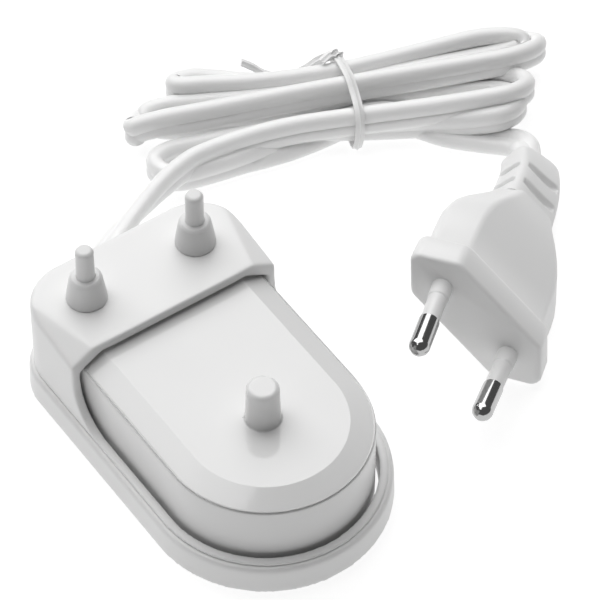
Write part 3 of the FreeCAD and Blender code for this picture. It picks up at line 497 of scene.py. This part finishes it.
bandPoints = [(0.2, 9.0, 11.7), (0.9, 5.4, 11.9), (1.4, 2.2, 11.9), (1.7, -0.4, 10.8), (1.8, -3.4, 10.2),
              (1.8, -5.6, 9.2), (1.7, -6.7, 6.8), (1.5, -6.9, 4.2), (1.2, -6.9, 2.0), (1.0, -6.2, 0.6),
              (0.6, -1.0, 0.5), (0.3, 4.0, 0.5), (0.1, 9.0, 0.7), (0.0, 11.2, 1.6), (0.0, 11.6, 5.0),
              (0.1, 10.9, 9.0), (0.1, 10.2, 11.0)]
tailOne = [(0.0, 9.2, 11.9), (-0.9, 9.4, 12.3), (-2.0, 8.9, 11.9), (-3.2, 8.1, 11.6)]
tailTwo = [(0.2, 9.4, 11.6), (-2.6, 10.4, 10.4), (-5.5, 11.4, 6.5), (-10.0, 11.6, 4.5), (-14.5, 10.8, 7.5),
           (-16.4, 9.9, 10.8), (-18.9, 10.6, 12.0)]
knotPoints = [(1.0, 8.6, 11.7), (0.2, 9.2, 12.2), (-0.8, 9.7, 12.1)]
band = tieStrip("tie_band", bandPoints, lambda share: hankAlong, True)
shortEnd = tieStrip("tie_tail_one", tailOne, lambda share: hankAcross, False)
longEnd = tieStrip("tie_tail_two", tailTwo, lambda share: leaning(hankAcross, 70 - 60 * share), False)
knot = tieStrip("tie_knot", knotPoints, lambda share: leaning(hankAcross, tieSizes["knotTurn"] * share), False)
for strip in (band, shortEnd, longEnd, knot):
    baked(strip, tieSizes["sharp"])
    settle(strip, "charger", "tie_vinyl")
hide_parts("cord_tie")
print("cord and tie made")


# plug body and its boot, as one moulding lofted behind the face

def roundedRing(corners, radius, steps=5):
    ring = []
    for k, corner in enumerate(corners):
        before, after = corners[k - 1], corners[(k + 1) % len(corners)]
        toBefore, toAfter = (before - corner), (after - corner)
        reach = min(radius, toBefore.length * 0.48, toAfter.length * 0.48)
        start, end = corner + toBefore.normalized() * reach, corner + toAfter.normalized() * reach
        for step in range(steps):
            share = step / (steps - 1)
            ring.append(start * (1 - share) ** 2 + corner * 2 * share * (1 - share) + end * share ** 2)
    return ring


def plugRing(depth, half, flat, thick, rounding):
    high, endHalf = thick / 2, plugSizes["endHalf"]
    corners = [(-flat, high), (-half, endHalf), (-half, -endHalf), (-flat, -high),
               (flat, -high), (half, -endHalf), (half, endHalf), (flat, high)]
    ring = roundedRing([Vector(corner) for corner in corners], rounding)
    place, across, through, heading = bootFrame(depth * mm)
    return [place + across * (point.x * mm) + through * (point.y * mm) for point in ring]


# depth, half width, half flat, thickness, corner rounding
plugTable = [
    (0.0, 16.9, 10.9, 11.6, 1.2), (0.12, 17.2, 11.2, 12.3, 1.2), (0.4, 17.5, 11.4, 12.9, 1.2),
    (0.9, 17.7, 11.5, 13.2, 1.2), (5.6, 17.6, 11.3, 13.2, 1.2), (6.1, 17.4, 11.2, 13.0, 1.2),
    (6.4, 17.0, 10.9, 12.6, 1.2), (6.5, 15.9, 10.4, 11.5, 0.9), (7.0, 15.6, 10.3, 11.2, 0.8),
    (14.0, 15.6, 10.2, 11.2, 0.8), (17.0, 15.4, 10.1, 11.2, 0.8), (20.0, 14.7, 9.7, 11.2, 0.9),
    (22.0, 14.0, 9.2, 11.15, 0.9), (24.0, 12.9, 8.5, 11.1, 1.0), (26.0, 11.5, 7.6, 11.0, 1.0),
    (28.0, 10.1, 6.6, 10.8, 1.1), (30.0, 8.7, 5.6, 10.4, 1.3), (33.0, 7.0, 4.4, 9.6, 1.6),
]
plugMoulding = baked(lofted("plug_moulding", [plugRing(*row) for row in plugTable], plugVinyl), plugSizes["sharp"])
settle(plugMoulding, "charger", "plug_vinyl", "plug_body")

bootSizes = {
    "start": 32.2,  # how deep behind the plug's face the boot's first ring stands, inside the plug
    "length": 16.3,
    "rings": 110,
    "wide": 12.8,
    "thick": 9.4,
    "wideTaper": 2.0,
    "thickTaper": 1.6,
    "endShare": 0.9,
    "endRound": 1.6,
    "squareness": 0.5,
    "slotDepths": (35.6, 41.0),
    "slotHalf": 0.8,
    "slotCut": 1.4,
    "slotBows": (1.4, 1.0),
    "sharp": 60,
}


# how deep a slot is at a share of its own half length
def crescent(share):
    return max(0.0, 1 - share * share) ** 0.7


# the boot's section: a rounded block, cut in by a short crescent slot on each of its faces at two depths
def bootRing(depth, steps=80):
    share = (depth * mm - bodyDeep) / bootLong
    ends = max(0.0, share - bootSizes["endShare"]) / (1 - bootSizes["endShare"])
    rounding = bootSizes["endRound"] * ends ** 2
    wide = bootSizes["wide"] - bootSizes["wideTaper"] * share - rounding
    thick = bootSizes["thick"] - bootSizes["thickTaper"] * share - rounding
    flatBow, endBow = bootSizes["slotBows"]
    place, across, through, heading = bootFrame(depth * mm)
    ring = []
    for step in range(steps):
        turn = 2 * math.pi * step / steps
        cosine, sine = math.cos(turn), math.sin(turn)
        x = wide / 2 * math.copysign(abs(cosine) ** bootSizes["squareness"], cosine)
        y = thick / 2 * math.copysign(abs(sine) ** bootSizes["squareness"], sine)
        onFlat, onEnd = crescent(x / (0.36 * wide)), crescent(y / (0.34 * thick))
        for middle in bootSizes["slotDepths"]:
            past = depth - middle
            flatSlot = math.exp(-((past - flatBow * (x / (wide / 2)) ** 2) / bootSizes["slotHalf"]) ** 4)
            endSlot = math.exp(-((past - endBow * (y / (thick / 2)) ** 2) / bootSizes["slotHalf"]) ** 4)
            if abs(y) > 0.4 * thick:
                y -= math.copysign(bootSizes["slotCut"] * flatSlot * onFlat, y)
            if abs(x) > 0.4 * wide:
                x -= math.copysign(bootSizes["slotCut"] * endSlot * onEnd, x)
        ring.append(place + across * (x * mm) + through * (y * mm))
    return ring


rows = bootSizes["rings"]
bootRings = [bootRing(bootSizes["start"] + bootSizes["length"] * row / rows) for row in range(rows + 1)]
bootMoulding = baked(lofted("plug_boot", bootRings, plugVinyl), bootSizes["sharp"])
settle(bootMoulding, "charger", "plug_vinyl", "plug_strain_relief")
print("plug made")


# moulded shells: the CAD pieces with their edges softened

# node, edge width in mm, finish, body
shells = [
    ("charger_top_cover", 0.35, "charger_gloss", "charger"),
    # the posts' darker tone is painted shade, not a plastic of their own
    ("head_post_left", 0.22, "post_satin", "holder"),
    ("head_post_right", 0.22, "post_satin", "holder"),
    ("plug_sleeve_left", 0.1, "sleeve_plastic", "charger"),
    ("plug_sleeve_right", 0.1, "sleeve_plastic", "charger"),
]
pins = {"nodes": ("plug_pin_left", "plug_pin_right"), "edge": 0.1 * mm}
tub = {"edge": 0.2 * mm, "bend": 50}
holder = {
    "baseGrid": 0.36 * mm,
    "baseRounds": (3, 1),
    "frameGrid": 0.34 * mm,
    "frameRounds": (4, 14),
    "facetsFrom": 13.0 * mm,
    "facetsFade": 3.0 * mm,
    "facetsAbove": 15.0 * mm,
    "aboveFade": 2.0 * mm,
}


# one on the hood's facets and their creases, fading out inside it and below it
def onFacets(point):
    outer = (abs(point.x) - holder["facetsFrom"]) / holder["facetsFade"]
    upper = (point.z - holder["facetsAbove"]) / holder["aboveFade"]
    return min(1, max(0, outer)) * min(1, max(0, upper))


for node, part in (("holder_base", "base"), ("holder_frame", "frame")):
    grid, rounds = holder[part + "Grid"], holder[part + "Rounds"]
    blended(node, grid, rounds, holderSatin, "holder_satin", "holder", onFacets)
skins = {node: softened(node, width * mm, plastics[slot], slot, body) for node, width, slot, body in shells}
for node in pins["nodes"]:
    skins[node] = softened(node, pins["edge"], pinMetal, "pin_metal", "charger")
skins["charger_housing"] = softened("charger_housing", tub["edge"], chargerSatin, "charger_satin", "charger",
                                    tub["bend"])
print("shells softened:", len(skins))


# coil winding: layer on layer of wire round the bobbin, each layer one long spiral

windingSizes = {
    "Inner Radius": 3.4 * mm,
    "Wire": 0.42 * mm,
    "Layer Step": 0.46 * mm,
    "Turns": 10.0,
    "Height": 4.0 * mm,
    "Foot": Vector((0, -13.3, 13.9)) * mm,
}
windingLayers = 9


class GeometryTree:
    def __init__(self, name, inputs):
        self.tree = bpy.data.node_groups.new(name, "GeometryNodeTree")
        self.tree.interface.new_socket("Geometry", in_out="OUTPUT", socket_type="NodeSocketGeometry")
        self.names = {}
        for label, value in inputs.items():
            kind = {Vector: "NodeSocketVector", float: "NodeSocketFloat"}.get(type(value), "NodeSocketMaterial")
            socket = self.tree.interface.new_socket(label, in_out="INPUT", socket_type=kind)
            self.names[label] = socket.identifier
        self.given = self.tree.nodes.new("NodeGroupInput").outputs
        self.result = self.tree.nodes.new("NodeGroupOutput").inputs[0]

    def add(self, kind, settings=None, sockets=None, out=0):
        node = self.tree.nodes.new(kind)
        for key, value in (settings or {}).items():
            setattr(node, key, value)
        for key, value in (sockets or {}).items():
            for source in value if isinstance(value, list) else [value]:
                if isinstance(source, bpy.types.NodeSocket):
                    self.tree.links.new(source, node.inputs[key])
                else:
                    node.inputs[key].default_value = source
        return node.outputs[out]

    def maths(self, operation, first, second):
        return self.add("ShaderNodeMath", {"operation": operation}, {0: first, 1: second})

    def made(self, name, finish, values):
        self.tree.links.new(finish, self.result)
        piece = makeMesh(name, [], [], values["Material"])
        modifier = piece.modifiers.new(name, "NODES")
        modifier.node_group = self.tree
        for label, value in values.items():
            modifier[self.names[label]] = value
        baked(piece, 60)
        if piece.data.materials[0] is None:
            piece.data.materials.pop(index=0)
        return piece


copper = tinted("enamelled_copper", (0.62, 0.26, 0.11), 0.3, 0.3, 900.0, 0.9)
windingValues = dict(windingSizes, Material=copper)
coil = GeometryTree("coil_turns", windingValues)
wireRadius = coil.maths("MULTIPLY", coil.given["Wire"], 0.5)
wireSection = coil.add("GeometryNodeCurvePrimitiveCircle", None, {"Resolution": 6, "Radius": wireRadius})
layers = []
for layer in range(windingLayers):
    offset = coil.maths("MULTIPLY", coil.given["Layer Step"], float(layer))
    radius = coil.maths("ADD", coil.maths("ADD", coil.given["Inner Radius"], wireRadius), offset)
    spiral = coil.add("GeometryNodeCurveSpiral", None, {"Resolution": 24, "Rotations": coil.given["Turns"],
                      "Start Radius": radius, "End Radius": radius, "Height": coil.given["Height"]})
    layers.append(coil.add("GeometryNodeCurveToMesh", None, {"Curve": spiral, "Profile Curve": wireSection,
                                                             "Fill Caps": True}))
winding = coil.add("GeometryNodeJoinGeometry", None, {0: layers})
placed = coil.add("GeometryNodeTransform", None, {"Geometry": winding, "Translation": coil.given["Foot"]})
whole = coil.add("GeometryNodeRealizeInstances", None, {0: placed})
painted = coil.add("GeometryNodeSetMaterial", None, {"Geometry": whole, "Material": coil.given["Material"]})
coilTurns = coil.made("coil_turns", painted, windingValues)
settle(coilTurns, "charger", "enamelled_copper", "coil_winding")
print("coil wound:", len(coilTurns.data.polygons), "faces")


# hidden works: the CAD pieces, painted

works = {
    "charger_bottom_plate": chargerSatin,
    "cord_grommet": cordVinyl,
    "ferrite_core": tinted("ferrite", (0.06, 0.06, 0.065), 0.75),
    "coil_bobbin": tinted("bobbin_plastic", (0.06, 0.06, 0.065), 0.5),
    "circuit_board": tinted("board_laminate", (0.50, 0.36, 0.16), 0.55, 0.15, 400.0),
    "smoothing_capacitor": tinted("capacitor_sleeve", (0.03, 0.04, 0.10), 0.35),
    "film_capacitor": tinted("film_case", (0.42, 0.07, 0.04), 0.25),
    "bridge_rectifier": tinted("black_epoxy", (0.025, 0.025, 0.025), 0.6),
    "fusible_resistor": tinted("resistor_body", (0.18, 0.30, 0.38), 0.4),
    "lead_wires": tinted("wire_insulation", (0.05, 0.12, 0.32), 0.4),
}
works["switching_transistor"] = works["bridge_rectifier"]
works["plug_insert"] = works["coil_bobbin"]
for node, material in works.items():
    nodes[node].data.materials.clear()
    nodes[node].data.materials.append(material)


# camera, floor and light

cameraSizes = {"at": Vector((-0.2553, -0.3951, 0.5899)), "turn": 34.6, "dip": 49.46, "sensor": 36, "lens": 243.1}
cameraTurn, cameraDip = math.radians(cameraSizes["turn"]), math.radians(cameraSizes["dip"])
cameraHeading = Vector((math.sin(cameraTurn) * math.cos(cameraDip), math.cos(cameraTurn) * math.cos(cameraDip),
                        -math.sin(cameraDip)))
lens = bpy.data.cameras.new("camera")
lens.sensor_width = cameraSizes["sensor"]
lens.lens = cameraSizes["lens"]
lens.clip_start = 0.05
lens.clip_end = 20
camera = bpy.data.objects.new("camera", lens)
bpy.context.scene.collection.objects.link(camera)
camera.location = cameraSizes["at"]
camera.rotation_mode = "QUATERNION"
camera.rotation_quaternion = cameraHeading.to_track_quat("-Z", "Y")
bpy.context.scene.camera = camera

studio = {
    "floorTone": 0.30,
    "floorGlow": 0.80,
    "floorReach": 3.0,
    "floorHigh": -0.0002,
    "worldTone": 0.12,
    "overhead": {"place": (0.15, 0.62, 1.12), "aim": (0.03, 0.02, 0), "size": 1.8, "power": 25.0},
    "left_fill": {"place": (-1.1, 0.1, 0.45), "aim": (0.0, 0.0, 0.02), "size": 0.7, "power": 0.5},
}
floorTree = ShaderTree("floor_white")
floorTree.surface(Base_Color=grey(studio["floorTone"]), Roughness=0.9, Emission_Color=grey(1.0),
                  Emission_Strength=studio["floorGlow"])
reach, low = studio["floorReach"], studio["floorHigh"]
floorCorners = [(-reach, -reach, low), (reach, -reach, low), (reach, reach, low), (-reach, reach, low)]
floor = makeMesh("floor", floorCorners, [(0, 1, 2, 3)], floorTree.material)


def softbox(name, place, aim, size, power):
    data = bpy.data.lights.new(name, "AREA")
    data.energy = power
    data.size = size
    made = bpy.data.objects.new(name, data)
    bpy.context.scene.collection.objects.link(made)
    made.location = place
    made.rotation_mode = "QUATERNION"
    made.rotation_quaternion = (Vector(aim) - Vector(place)).to_track_quat("-Z", "Y")


for name in ("overhead", "left_fill"):
    softbox(name, **studio[name])
world = bpy.data.worlds.new("studio")
bpy.context.scene.world = world
world.use_nodes = True
world.node_tree.nodes["Background"].inputs["Color"].default_value = grey(studio["worldTone"])
bpy.context.scene.view_settings.view_transform = "Standard"
print("camera and light set")
